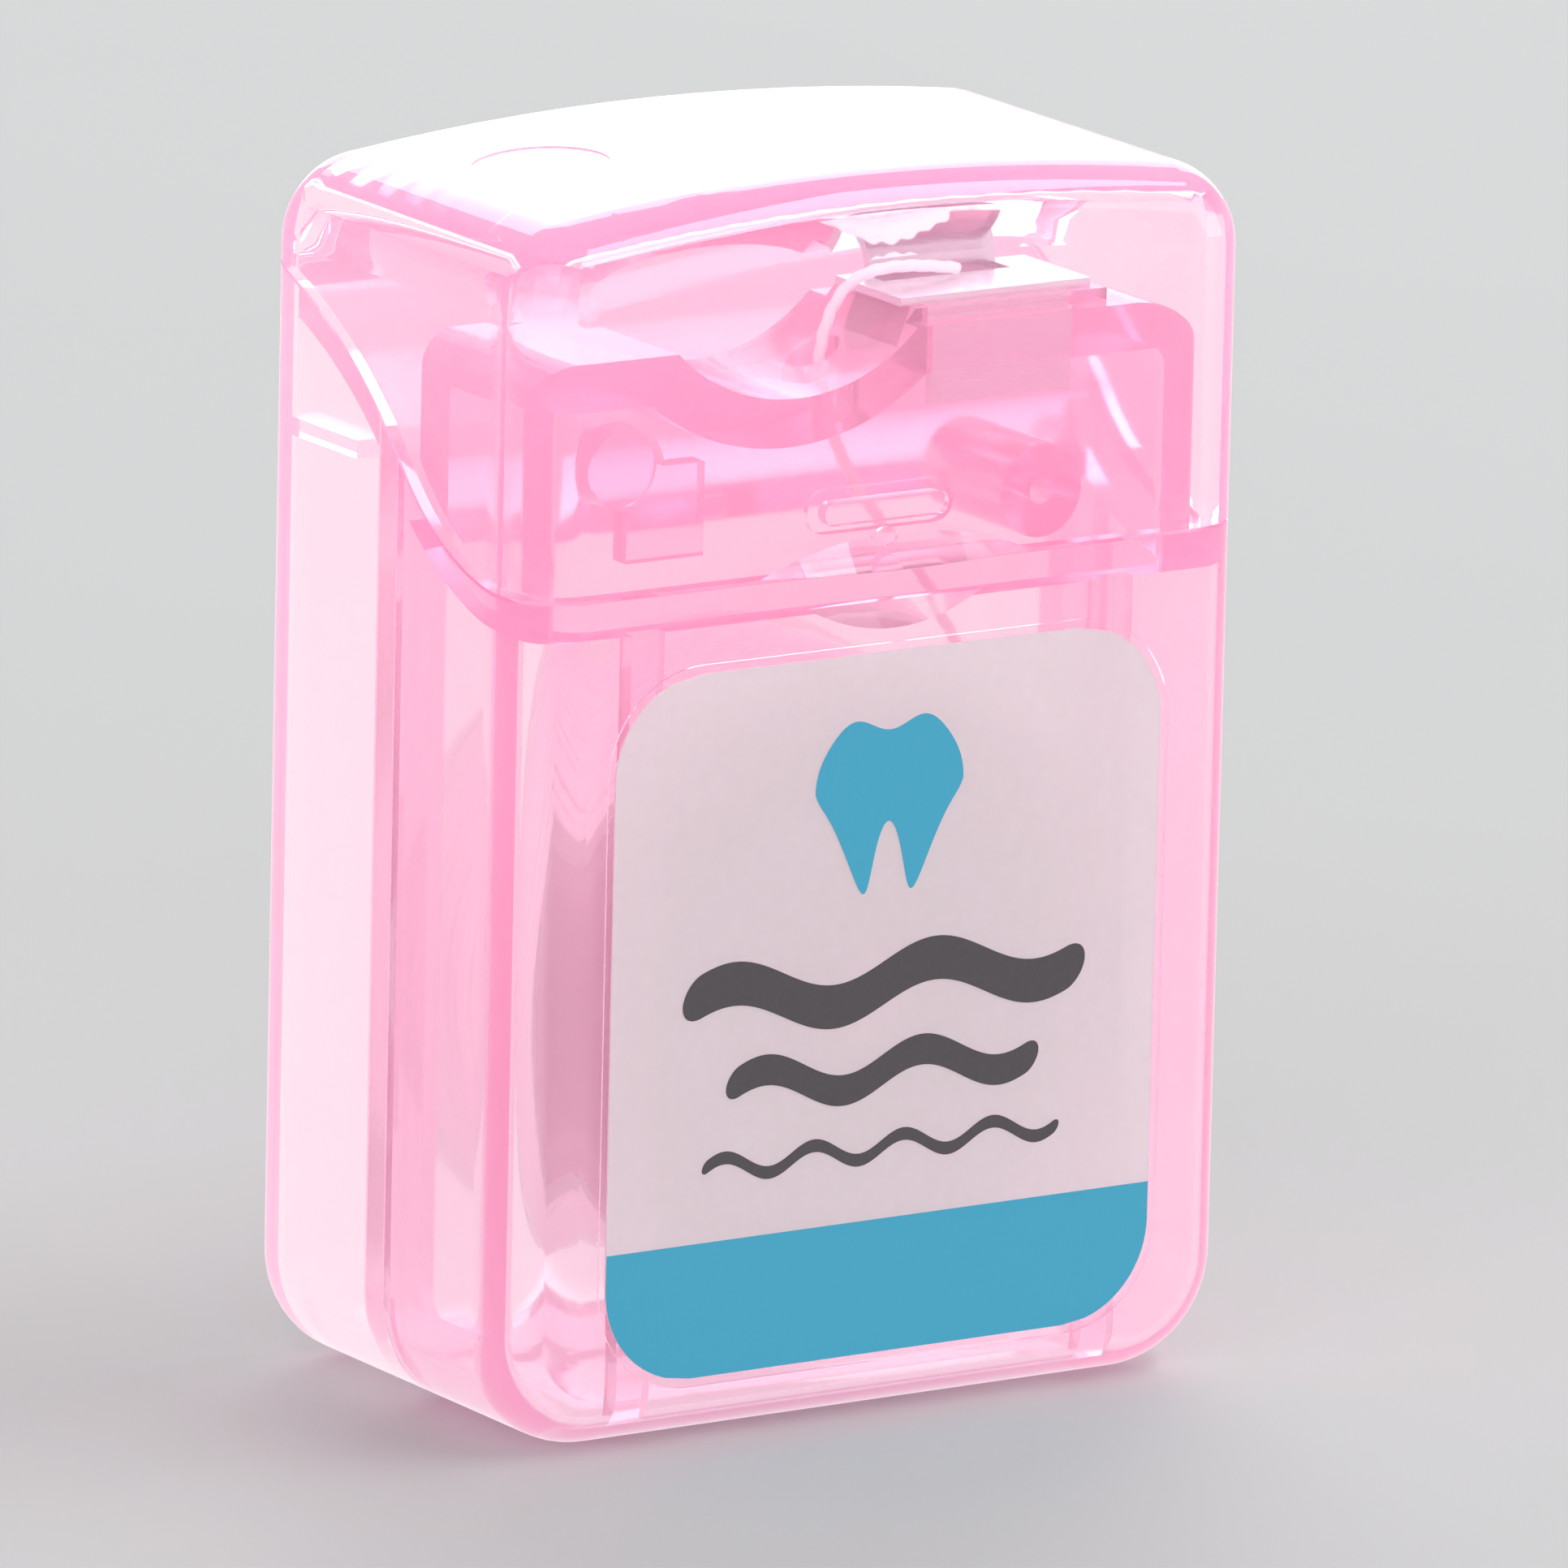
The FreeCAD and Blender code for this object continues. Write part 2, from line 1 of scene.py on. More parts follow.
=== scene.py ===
# A pocket dispenser of dental floss: two clear pink shells with a roll of floss between them, a flip lid
# on a living hinge, a steel cutter on the deck under the lid, and a film label on the front.
import math
import bmesh
import bpy
import numpy as np
from mathutils import Matrix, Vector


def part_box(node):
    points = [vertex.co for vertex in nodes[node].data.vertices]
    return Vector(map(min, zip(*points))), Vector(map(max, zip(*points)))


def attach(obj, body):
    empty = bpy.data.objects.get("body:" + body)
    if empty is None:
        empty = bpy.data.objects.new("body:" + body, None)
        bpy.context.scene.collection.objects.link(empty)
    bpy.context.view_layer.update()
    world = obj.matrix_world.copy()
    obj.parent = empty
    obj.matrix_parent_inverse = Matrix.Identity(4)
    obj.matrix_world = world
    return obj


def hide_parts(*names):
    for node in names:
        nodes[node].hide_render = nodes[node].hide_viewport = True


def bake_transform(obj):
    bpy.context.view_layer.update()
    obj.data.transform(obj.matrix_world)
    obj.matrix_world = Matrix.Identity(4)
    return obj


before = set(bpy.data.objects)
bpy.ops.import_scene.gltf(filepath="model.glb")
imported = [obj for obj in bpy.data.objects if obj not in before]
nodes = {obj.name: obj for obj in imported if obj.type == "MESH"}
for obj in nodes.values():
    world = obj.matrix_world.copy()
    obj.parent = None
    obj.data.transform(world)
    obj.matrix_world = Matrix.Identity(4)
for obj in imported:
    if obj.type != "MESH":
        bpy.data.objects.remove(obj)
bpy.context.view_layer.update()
mm = 0.001

# Rear half of the case
# It is moulded in clear plastic tinted pink all through, a little milky, so thin walls look pale and thick
# or edge-on ones glow. It holds the roll's post and a ledge on each side, and the front half's rim is
# welded into it.
plastic_base = (1.0, 0.955, 0.968, 1.0)
plastic_index = 1.5
tint_colour = (0.98, 0.0, 0.56, 1.0)
haze_colour = (1.0, 1.0, 1.0, 1.0)
haze_forward = 0.3
flow_size = 11 * mm
flow_height = 0.02 * mm
skin_size = 1.6 * mm
skin_height = 0.0012 * mm
outside_gloss = 0.0
outside_depth = 0.4 * mm
side_reach = 2.4 * mm
case_half = (16.3 * mm, 9.6 * mm, 60 * mm)
case_middle = (0.0, 0.45 * mm, 0.0)
case_round = 2.85 * mm
arch_radius = 105 * mm
arch_crown = 47.8 * mm
rear_tint = 34.0
rear_haze = 150.0
rear_dullness = 0.18


def new_material(name):
    """A material with its node tree, its Principled shader and a source of object coordinates."""
    material = bpy.data.materials.new(name)
    material.use_nodes = True
    tree = material.node_tree
    place = tree.nodes.new("ShaderNodeTexCoord").outputs["Object"]
    return material, tree, tree.nodes["Principled BSDF"], place


def noise(tree, vector, size, detail=2.0):
    """Noise from 0 to 1 whose blobs are about as wide as size, in metres."""
    node = tree.nodes.new("ShaderNodeTexNoise")
    node.inputs["Scale"].default_value = 1 / size
    node.inputs["Detail"].default_value = detail
    tree.links.new(vector, node.inputs["Vector"])
    return node.outputs["Fac"]


def ranged(tree, value, low, high):
    """A value from 0 to 1 spread between low and high."""
    node = tree.nodes.new("ShaderNodeMapRange")
    node.inputs["To Min"].default_value = low
    node.inputs["To Max"].default_value = high
    tree.links.new(value, node.inputs["Value"])
    return node.outputs["Result"]


def raised(tree, height, depth, under=None):
    """A bump of the given depth in metres, on top of another bump if one is given."""
    node = tree.nodes.new("ShaderNodeBump")
    node.inputs["Distance"].default_value = depth
    tree.links.new(height, node.inputs["Height"])
    if under is not None:
        tree.links.new(under, node.inputs["Normal"])
    return node.outputs["Normal"]


def vector_step(tree, operation, vector, value=None):
    """One step of vector arithmetic."""
    node = tree.nodes.new("ShaderNodeVectorMath")
    node.operation = operation
    tree.links.new(vector, node.inputs[0])
    if value is not None:
        node.inputs[1].default_value = value
    return node.outputs["Value" if operation == "LENGTH" else "Vector"]


def number_step(tree, operation, first, second):
    """One step of arithmetic with a value and another value or a constant."""
    node = tree.nodes.new("ShaderNodeMath")
    node.operation = operation
    tree.links.new(first, node.inputs[0])
    if isinstance(second, float):
        node.inputs[1].default_value = second
    else:
        tree.links.new(second, node.inputs[1])
    return node.outputs[0]


def milky_pink(name, tint, haze, dullness):
    """Clear plastic with pink dye and a fine haze inside it, and faint flow waves in its skin. The mould is
    polished outside and duller inside. A point is outside where its distance from an upright block, set in
    from the case's sides by the radius of its corners, is close to that radius. It is outside too where it
    is on the base, or close to the lid's arched top, which drops from its crown by x squared over twice the
    arch's radius."""
    material, tree, shader, place = new_material(name)
    shader.inputs["Base Color"].default_value = plastic_base
    offset = vector_step(tree, "ABSOLUTE", vector_step(tree, "SUBTRACT", place, case_middle))
    beyond = vector_step(tree, "SUBTRACT", offset, [half - case_round for half in case_half])
    reach = vector_step(tree, "LENGTH", vector_step(tree, "MAXIMUM", beyond, (0.0, 0.0, 0.0)))
    parts = tree.nodes.new("ShaderNodeSeparateXYZ")
    tree.links.new(place, parts.inputs[0])
    drop = number_step(tree, "DIVIDE", number_step(tree, "POWER", parts.outputs["X"], 2.0), 2 * arch_radius)
    under_crown = number_step(tree, "ADD", parts.outputs["Z"], drop)
    on_side = number_step(tree, "GREATER_THAN", reach, side_reach)
    on_top = number_step(tree, "GREATER_THAN", under_crown, arch_crown - outside_depth)
    on_base = number_step(tree, "LESS_THAN", parts.outputs["Z"], outside_depth)
    outside = number_step(tree, "MAXIMUM", number_step(tree, "MAXIMUM", on_side, on_top), on_base)
    tree.links.new(ranged(tree, outside, dullness, outside_gloss), shader.inputs["Roughness"])
    shader.inputs["IOR"].default_value = plastic_index
    shader.inputs["Transmission Weight"].default_value = 1.0
    flow = raised(tree, noise(tree, place, flow_size), flow_height)
    skin = raised(tree, noise(tree, place, skin_size), skin_height, flow)
    tree.links.new(skin, shader.inputs["Normal"])
    dye = tree.nodes.new("ShaderNodeVolumeAbsorption")
    dye.inputs["Color"].default_value = tint_colour
    dye.inputs["Density"].default_value = tint
    milk = tree.nodes.new("ShaderNodeVolumeScatter")
    milk.inputs["Color"].default_value = haze_colour
    milk.inputs["Density"].default_value = haze
    milk.inputs["Anisotropy"].default_value = haze_forward
    both = tree.nodes.new("ShaderNodeAddShader")
    tree.links.new(dye.outputs["Volume"], both.inputs[0])
    tree.links.new(milk.outputs["Volume"], both.inputs[1])
    tree.links.new(both.outputs["Shader"], tree.nodes["Material Output"].inputs["Volume"])
    return material


rear_plastic = milky_pink("milky_pink_rear", rear_tint, rear_haze, rear_dullness)
nodes["rear_shell"].material_slots[0].material = rear_plastic

# Bobbin
# A spool of natural white plastic that spins on the rear half's post. Its flanges keep the floss in, and
# the mould leaves fine rings on them.
bobbin_white = (0.98, 0.965, 0.97, 1.0)
bobbin_shade = (0.95, 0.92, 0.935, 1.0)
bobbin_clear = 0.6
bobbin_gloss = (0.35, 0.5)
bobbin_cloud = 6 * mm
bobbin_rings = 0.45 * mm
bobbin_ring_height = 0.0004 * mm
wave_repeat = 0.314
bobbin_low, bobbin_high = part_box("bobbin")
spool_axis = ((bobbin_low[0] + bobbin_high[0]) / 2, 0.0, (bobbin_low[2] + bobbin_high[2]) / 2)


def blend_colours(tree, factor, first, second):
    """A colour that goes from the first to the second with the factor."""
    node = tree.nodes.new("ShaderNodeMix")
    node.data_type = "RGBA"
    node.inputs[6].default_value = first
    node.inputs[7].default_value = second
    tree.links.new(factor, node.inputs[0])
    return node.outputs[2]


def rings_about(tree, place, axis_point, spacing):
    """Rings round the line through axis_point along Y, one every spacing. A wave texture of scale 1 has a
    ring every wave_repeat."""
    centred = tree.nodes.new("ShaderNodeMapping")
    centred.inputs["Location"].default_value = [-c for c in axis_point]
    rings = tree.nodes.new("ShaderNodeTexWave")
    rings.wave_type = "RINGS"
    rings.rings_direction = "Y"
    rings.inputs["Scale"].default_value = wave_repeat / spacing
    tree.links.new(place, centred.inputs["Vector"])
    tree.links.new(centred.outputs["Vector"], rings.inputs["Vector"])
    return rings.outputs["Fac"]


bobbin_plastic, tree, shader, place = new_material("bobbin_plastic")
cloud = noise(tree, place, bobbin_cloud)
tree.links.new(blend_colours(tree, cloud, bobbin_white, bobbin_shade), shader.inputs["Base Color"])
tree.links.new(ranged(tree, cloud, *bobbin_gloss), shader.inputs["Roughness"])
tree.links.new(raised(tree, rings_about(tree, place, spool_axis, bobbin_rings), bobbin_ring_height),
               shader.inputs["Normal"])
shader.inputs["Transmission Weight"].default_value = bobbin_clear
nodes["bobbin"].material_slots[0].material = bobbin_plastic

# Roll of floss
# Twelve yards of waxed nylon yarn, wound side by side in layers between the flanges. The layers below are
# one barrel with a groove between turns, and the outer layer is the yarn itself, three plies twisted.
yarn_radius = 0.25 * mm
yarn_lay = 2.6 * mm
yarn_plies = 3
yarn_sides = 12
yarn_crease = 0.2
turn_pitch = 0.535 * mm
turn_steps = 200
turn_sway = 0.03 * mm
sway_rate = 1.37
core_turn_samples = 6
core_steps = 288
core_groove = 0.16 * mm
hub_radius = 7.85 * mm
yarn_white = (0.97, 0.92, 0.94, 1.0)
yarn_shade = (0.92, 0.85, 0.88, 1.0)
yarn_gloss = (0.3, 0.55)
yarn_sheen = 0.3
wax_cloud = 2.2 * mm
wax_grain = 0.12 * mm
wax_height = 0.01 * mm
merge_reach = 0.0001 * mm
sharp_turn = math.radians(55)


def lay_skin(name, points, round_along=False, round_across=False, tips=False, smooth=True):
    """A mesh over a grid of points, whose faces join neighbours. A round direction joins its last row to
    its first, and tips close the two end rows with fans, as on a cut yarn."""
    rows, columns = points.shape[:2]
    number = np.arange(rows * columns).reshape(rows, columns)
    fans = [(number[0], rows * columns), (number[-1][::-1], rows * columns + 1)] if tips else []
    if round_along:
        number = np.vstack([number, number[:1]])
    if round_across:
        number = np.hstack([number, number[:, :1]])
    quads = np.stack([number[:-1, :-1], number[:-1, 1:], number[1:, 1:], number[1:, :-1]], axis=-1)
    corners = points.reshape(-1, 3)
    faces = quads.reshape(-1, 4).tolist()
    if tips:
        corners = np.vstack([corners, points[0].mean(axis=0), points[-1].mean(axis=0)])
        for ring, tip in fans:
            faces += np.stack([np.roll(ring, -1), ring, np.full(len(ring), tip)], axis=-1).tolist()
    mesh = bpy.data.meshes.new(name)
    mesh.from_pydata(corners.tolist(), [], faces)
    closed = bmesh.new()
    closed.from_mesh(mesh)
    bmesh.ops.remove_doubles(closed, verts=closed.verts, dist=merge_reach)
    if round_across and (round_along or tips):
        bmesh.ops.recalc_face_normals(closed, faces=closed.faces)
    closed.to_mesh(mesh)
    closed.free()
    if smooth:
        mesh.shade_smooth()
        mesh.set_sharp_from_angle(angle=sharp_turn)
    piece = bpy.data.objects.new(name, mesh)
    bpy.context.scene.collection.objects.link(piece)
    return piece


def twisted_yarn(name, line, radius):
    """Yarn along a line of points. Two directions square to the line and to each other span its section,
    whose radius dips once for each crease between plies, and the dips turn once in every lay length."""
    ahead = np.gradient(line, axis=0)
    ahead /= np.linalg.norm(ahead, axis=1, keepdims=True)
    side = np.cross(ahead, (0.0, 1.0, 0.0))
    side /= np.linalg.norm(side, axis=1, keepdims=True)
    top = np.cross(side, ahead)
    run = np.concatenate([[0.0], np.cumsum(np.linalg.norm(np.diff(line, axis=0), axis=1))])
    angle = np.linspace(0, 2 * math.pi, yarn_sides, endpoint=False)
    phase = yarn_plies * (angle[None, :] - 2 * math.pi * run[:, None] / yarn_lay)
    reach = radius * (1 - yarn_crease * (0.5 - 0.5 * np.cos(phase)))
    points = (line[:, None] + (reach * np.cos(angle))[..., None] * side[:, None]
              + (reach * np.sin(angle))[..., None] * top[:, None])
    return lay_skin(name, points, round_across=True, tips=True)


def waxed_yarn(name):
    """Wax over pale yarn: cloudy colour, soft gloss and a faint grain."""
    material, tree, shader, place = new_material(name)
    cloud = noise(tree, place, wax_cloud, 4.0)
    tree.links.new(blend_colours(tree, cloud, yarn_white, yarn_shade), shader.inputs["Base Color"])
    tree.links.new(ranged(tree, cloud, *yarn_gloss), shader.inputs["Roughness"])
    tree.links.new(raised(tree, noise(tree, place, wax_grain, 3.0), wax_height), shader.inputs["Normal"])
    shader.inputs["Sheen Weight"].default_value = yarn_sheen
    return material


floss_yarn = waxed_yarn("waxed_floss_yarn")
core_low, core_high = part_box("floss_core")
wind_low, wind_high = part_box("floss_winding")
core_radius = (core_high[0] - core_low[0]) / 2
turns = (wind_high[1] - wind_low[1] - 2 * yarn_radius) / turn_pitch

# The barrel's radius dips between turns, and a turn moves on by one pitch as it goes round
core_y = np.linspace(core_low[1], core_high[1], int(turns * core_turn_samples))
around = np.linspace(0, 2 * math.pi, core_steps, endpoint=False)
groove = 0.5 - 0.5 * np.cos(2 * math.pi * core_y[None, :] / turn_pitch + around[:, None])
barrel = core_radius - core_groove * groove
hub = np.full((core_steps, 1), hub_radius)
core_reach = np.hstack([hub, barrel, hub])
core_across = np.concatenate([core_y[:1], core_y, core_y[-1:]])
core_points = np.stack([spool_axis[0] + core_reach * np.cos(around)[:, None],
                        np.broadcast_to(core_across, core_reach.shape),
                        spool_axis[2] + core_reach * np.sin(around)[:, None]], axis=-1)
core = lay_skin("floss_inner_layers", core_points, round_along=True, round_across=True)

# The outer layer is a helix, whose turns sway a little as a guide lays them
sweep = np.arange(0, turns * turn_steps) / turn_steps
coil_radius = (wind_high[0] - wind_low[0]) / 2 - yarn_radius
coil_inset = yarn_radius + turn_sway
coil_y = np.linspace(wind_low[1] + coil_inset, wind_high[1] - coil_inset, len(sweep))
coil = np.stack([spool_axis[0] + coil_radius * np.cos(2 * math.pi * sweep),
                 coil_y + turn_sway * np.sin(2 * math.pi * sweep * sway_rate),
                 spool_axis[2] + coil_radius * np.sin(2 * math.pi * sweep)], axis=-1)
winding = twisted_yarn("floss_outer_layer", coil, yarn_radius)
for piece, node in ((core, "floss_core"), (winding, "floss_winding")):
    piece.data.materials.append(floss_yarn)
    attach(piece, "spool")
    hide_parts(node)

# Strand of floss
# The roll's free end climbs past the collar, comes up through the hole in the deck and lies across the
# cutter. It is held all the way, so it follows its route exactly.
strand_route = [
    (12.95, 0.25, 17.5),
    (10.75, -0.35, 23.6),
    (5.7, -2.05, 30.4),
    (0.9, -3.25, 35.5),
    (-0.65, -3.7, 39.2),
    (0.05, -3.9, 42.7),
    (2.6, -3.85, 43.6),
    (5.65, -3.85, 43.02),
]
strand_steps = 24


def smooth_line(route, steps):
    """The points of one smooth spline that a route in millimetres steers."""
    curve = bpy.data.curves.new("route", "CURVE")
    curve.dimensions = "3D"
    curve.resolution_u = steps
    spline = curve.splines.new("NURBS")
    spline.points.add(len(route) - 1)
    for point, spot in zip(spline.points, route):
        point.co = (spot[0] * mm, spot[1] * mm, spot[2] * mm, 1.0)
    spline.order_u = 3
    spline.use_endpoint_u = True
    guide = bpy.data.objects.new("route", curve)
    traced = bpy.data.meshes.new_from_object(guide)
    line = np.empty(len(traced.vertices) * 3)
    traced.vertices.foreach_get("co", line)
    bpy.data.objects.remove(guide)
    bpy.data.curves.remove(curve)
    bpy.data.meshes.remove(traced)
    return line.reshape(-1, 3)


strand = twisted_yarn("floss_strand", smooth_line(strand_route, strand_steps), yarn_radius)
strand.data.materials.append(floss_yarn)
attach(strand, "case")
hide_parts("floss_lead")

# Front half of the case
# Moulded in the same pink plastic with a little more dye, with the neck, its deck and finger scoop, the
# guide ring and the peg. Its rim slides into the rear half.
front_tint = 100.0
front_haze = 260.0
front_dullness = 0.1
front_plastic = milky_pink("milky_pink_front", front_tint, front_haze, front_dullness)
nodes["front_shell"].material_slots[0].material = front_plastic

# Label
# A self-adhesive film in a shallow recess, printed in two colours under a satin laminate: a teal band at
# the foot, a tooth at the head and strands of floss between them.
paper_tone = (0.93, 0.865, 0.895, 1.0)
paper_shade = (0.87, 0.80, 0.83, 1.0)
teal_tone = (0.042, 0.40, 0.60, 1.0)
teal_shade = (0.05, 0.35, 0.53, 1.0)
charcoal_tone = (0.055, 0.045, 0.052, 1.0)
charcoal_shade = (0.075, 0.062, 0.07, 1.0)
film_low, film_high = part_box("label")
film_corner = 3.8 * mm
film_rows = 97
film_columns = 41
film_thickness = 0.1 * mm
film_clear = 0.4
film_grain = 0.5 * mm
film_gloss = 0.4
teal_grain = 0.16 * mm
charcoal_grain = 0.2 * mm
ink_gloss = 0.3
gloss_spread = 0.12
ink_thickness = 0.008 * mm
ink_lift = 0.010 * mm
band_top = 7.8 * mm
band_rows = 33
wave_steps = 120
wave_rows = 5
tooth_steps = 81
tooth_rows = 9
tooth_cusps = (0.94, 0.1)
tooth_roots = (0.66, 0.34)
tooth_taper = 0.34
print_height = 0.004 * mm


def printed(name, tone, shade, grain, gloss, clear=0.0):
    """Ink or film under a satin laminate: a fine mottle in its tone and its gloss. Some light passes a film
    that is partly clear, and comes out soft."""
    material, tree, shader, place = new_material(name)
    mottle = noise(tree, place, grain, 6.0)
    tree.links.new(blend_colours(tree, mottle, tone, shade), shader.inputs["Base Color"])
    tree.links.new(ranged(tree, mottle, gloss, gloss + gloss_spread), shader.inputs["Roughness"])
    tree.links.new(raised(tree, mottle, print_height), shader.inputs["Normal"])
    shader.inputs["Transmission Weight"].default_value = clear
    return material


def flat_piece(name, grid, front, thickness, material):
    """A thin flat piece that faces the front, from a grid of x and z, with its thickness behind it."""
    x, z = grid
    piece = lay_skin(name, np.stack([x, np.full_like(x, front), z], axis=-1), smooth=False)
    body = piece.modifiers.new("thickness", "SOLIDIFY")
    body.thickness = thickness
    body.offset = -1
    piece.data.materials.append(material)
    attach(piece, "case")
    return piece


def film_part(low, high, rows):
    """Grid of x and z over the label between two heights. A row is as wide as the label is there, which
    narrows along a quarter circle at each corner."""
    z = np.linspace(low, high, rows)
    into_corner = np.maximum(0, np.maximum(film_low[2] + film_corner - z, z - film_high[2] + film_corner))
    half = film_high[0] - film_corner + np.sqrt(np.maximum(0, film_corner ** 2 - into_corner ** 2))
    across = np.linspace(-1, 1, film_columns)
    return half[:, None] * across, np.repeat(z[:, None], film_columns, axis=1)


def wave_part(left, right, height, thick, swing, length):
    """Grid of x and z over a wavy stripe: its middle swings as a sine along x, and its ends are half
    circles. Points crowd towards the ends as a cosine does."""
    x = left + (right - left) * (0.5 - 0.5 * np.cos(np.linspace(0, math.pi, wave_steps)))
    from_end = np.minimum(np.minimum(x - left, right - x), thick / 2)
    half = np.sqrt(np.maximum((thick / 2) ** 2 - (thick / 2 - from_end) ** 2, 0))
    middle = height + swing * np.sin(2 * math.pi * (x - left) / length)
    across = np.linspace(-1, 1, wave_rows)[:, None]
    return np.repeat(x[None, :], wave_rows, axis=0), middle + across * half


def tooth_part(middle_z, half_width, crown, root):
    """Grid of x and z over a tooth. Its upper edge is a flattened arch with a dip between two cusps, its
    lower edge has a deep notch between two roots, and it narrows evenly from its widest height down."""
    across = -np.cos(np.linspace(0, math.pi, tooth_steps))
    arch = (1 - across ** 4) ** 0.5
    swell = np.cos(2 * math.pi * across)
    upper = crown * arch * (tooth_cusps[0] - tooth_cusps[1] * swell)
    lower = -root * arch * (tooth_roots[0] - tooth_roots[1] * swell)
    share = np.linspace(0, 1, tooth_rows)[:, None]
    z = lower + share * (upper - lower)
    return half_width * across * (1 + tooth_taper * np.minimum(z, 0) / root), middle_z + z


film = printed("label_film", paper_tone, paper_shade, film_grain, film_gloss, film_clear)
teal = printed("teal_ink", teal_tone, teal_shade, teal_grain, ink_gloss)
charcoal = printed("charcoal_ink", charcoal_tone, charcoal_shade, charcoal_grain, ink_gloss)
ink_front = film_low[1]
film_front = ink_front + ink_lift
label = flat_piece("front_label", film_part(film_low[2], film_high[2], film_rows), film_front,
                   film_thickness, film)
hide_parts("label")
flat_piece("label_band", film_part(film_low[2], band_top, band_rows), ink_front, ink_thickness, teal)
flat_piece("label_tooth", tooth_part(24.6 * mm, 3.3 * mm, 2.6 * mm, 4.2 * mm), ink_front, ink_thickness,
           teal)
flat_piece("label_strand_wide", wave_part(-9 * mm, 9 * mm, 17.0 * mm, 1.7 * mm, 0.7 * mm, 9 * mm),
           ink_front, ink_thickness, charcoal)
flat_piece("label_strand_mid", wave_part(-7 * mm, 7 * mm, 13.6 * mm, 1.2 * mm, 0.6 * mm, 7 * mm),
           ink_front, ink_thickness, charcoal)
flat_piece("label_strand_fine", wave_part(-8 * mm, 8 * mm, 10.6 * mm, 0.5 * mm, 0.4 * mm, 4 * mm),
           ink_front, ink_thickness, charcoal)

# Cutter
# Stamped from stainless strip and pushed into two slots of the deck, with an upright tab whose teeth cut
# the floss. Its rolling lines run along it.
steel_tone = (0.86, 0.85, 0.88, 1.0)
steel_shade = (0.70, 0.69, 0.74, 1.0)
steel_gloss = (0.16, 0.34)
steel_lines = 0.05 * mm
steel_line_height = 0.002 * mm
steel_stretch = 0.02
steel_directed = 0.5
cutter_ease = 0.03 * mm
cutter_ease_turn = math.radians(35)
cutter_flat_turn = math.radians(1)
cutter_merge = 0.0002 * mm


def eased_copy(node, name, reach):
    """A merged copy of a frame node's triangles with its sharp edges rounded by a narrow bevel."""
    source = nodes[node].data
    corners = np.empty(len(source.vertices) * 3)
    source.vertices.foreach_get("co", corners)
    faces = np.empty(len(source.loops), dtype=int)
    source.loops.foreach_get("vertex_index", faces)
    mesh = bpy.data.meshes.new(name)
    mesh.from_pydata(corners.reshape(-1, 3).tolist(), [], faces.reshape(-1, 3).tolist())
    merged = bmesh.new()
    merged.from_mesh(mesh)
    bmesh.ops.remove_doubles(merged, verts=merged.verts, dist=cutter_merge)
    bmesh.ops.dissolve_limit(merged, angle_limit=cutter_flat_turn, verts=merged.verts, edges=merged.edges)
    merged.to_mesh(mesh)
    merged.free()
    piece = bpy.data.objects.new(name, mesh)
    bpy.context.scene.collection.objects.link(piece)
    ease = piece.modifiers.new("eased_edges", "BEVEL")
    ease.width = reach
    ease.segments = 2
    ease.limit_method = "ANGLE"
    ease.angle_limit = cutter_ease_turn
    ease.harden_normals = True
    mesh.shade_smooth()
    return piece


brushed_steel, tree, shader, place = new_material("brushed_steel")
drawn = tree.nodes.new("ShaderNodeMapping")
drawn.inputs["Scale"].default_value = (steel_stretch, 1.0, 1.0)
tree.links.new(place, drawn.inputs["Vector"])
lines = noise(tree, drawn.outputs["Vector"], steel_lines, 4.0)
tree.links.new(blend_colours(tree, lines, steel_tone, steel_shade), shader.inputs["Base Color"])
tree.links.new(ranged(tree, lines, *steel_gloss), shader.inputs["Roughness"])
tree.links.new(raised(tree, lines, steel_line_height), shader.inputs["Normal"])
shader.inputs["Metallic"].default_value = 1.0
shader.inputs["Anisotropic"].default_value = steel_directed
cutter = eased_copy("cutter", "floss_cutter", cutter_ease)
cutter.data.materials.append(brushed_steel)
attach(cutter, "case")
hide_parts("cutter")

# Lid
# Moulded in one with the rear half, over a core with sharp edges round its top, so its top edges are the
# densest pink. A bead inside it snaps into the pocket in the neck.
lid_tint = 64.0
lid_haze = 150.0
lid_dullness = 0.05
lid_plastic = milky_pink("milky_pink_lid", lid_tint, lid_haze, lid_dullness)
nodes["lid"].material_slots[0].material = lid_plastic

# Living hinge
# A web of the same plastic, thinned in its middle so that it folds there.
web_low, web_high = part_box("living_hinge")
web_rows = 25
web_columns = 13
web_waist = 0.55
web_middle_y = (web_low[1] + web_high[1]) / 2
web_middle_z = (web_low[2] + web_high[2]) / 2

# The section goes up the inner face and down the outer one, and its half thickness grows as the square of
# the distance from the fold
web_z = np.linspace(web_low[2], web_high[2], web_rows)
from_fold = np.abs(web_z - web_middle_z) / (web_high[2] - web_middle_z)
web_half = (web_high[1] - web_middle_y) * (web_waist + (1 - web_waist) * from_fold ** 2)
section_y = np.concatenate([web_middle_y - web_half, web_middle_y + web_half[::-1]])
section_z = np.concatenate([web_z, web_z[::-1]])
web_x = np.linspace(web_low[0], web_high[0], web_columns)
web_points = np.stack([np.repeat(web_x[:, None], 2 * web_rows, axis=1),
                       np.repeat(section_y[None, :], web_columns, axis=0),
                       np.repeat(section_z[None, :], web_columns, axis=0)], axis=-1)
web = lay_skin("hinge_web", web_points, round_across=True, tips=True)
web.data.materials.append(rear_plastic)
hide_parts("living_hinge")
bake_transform(web)

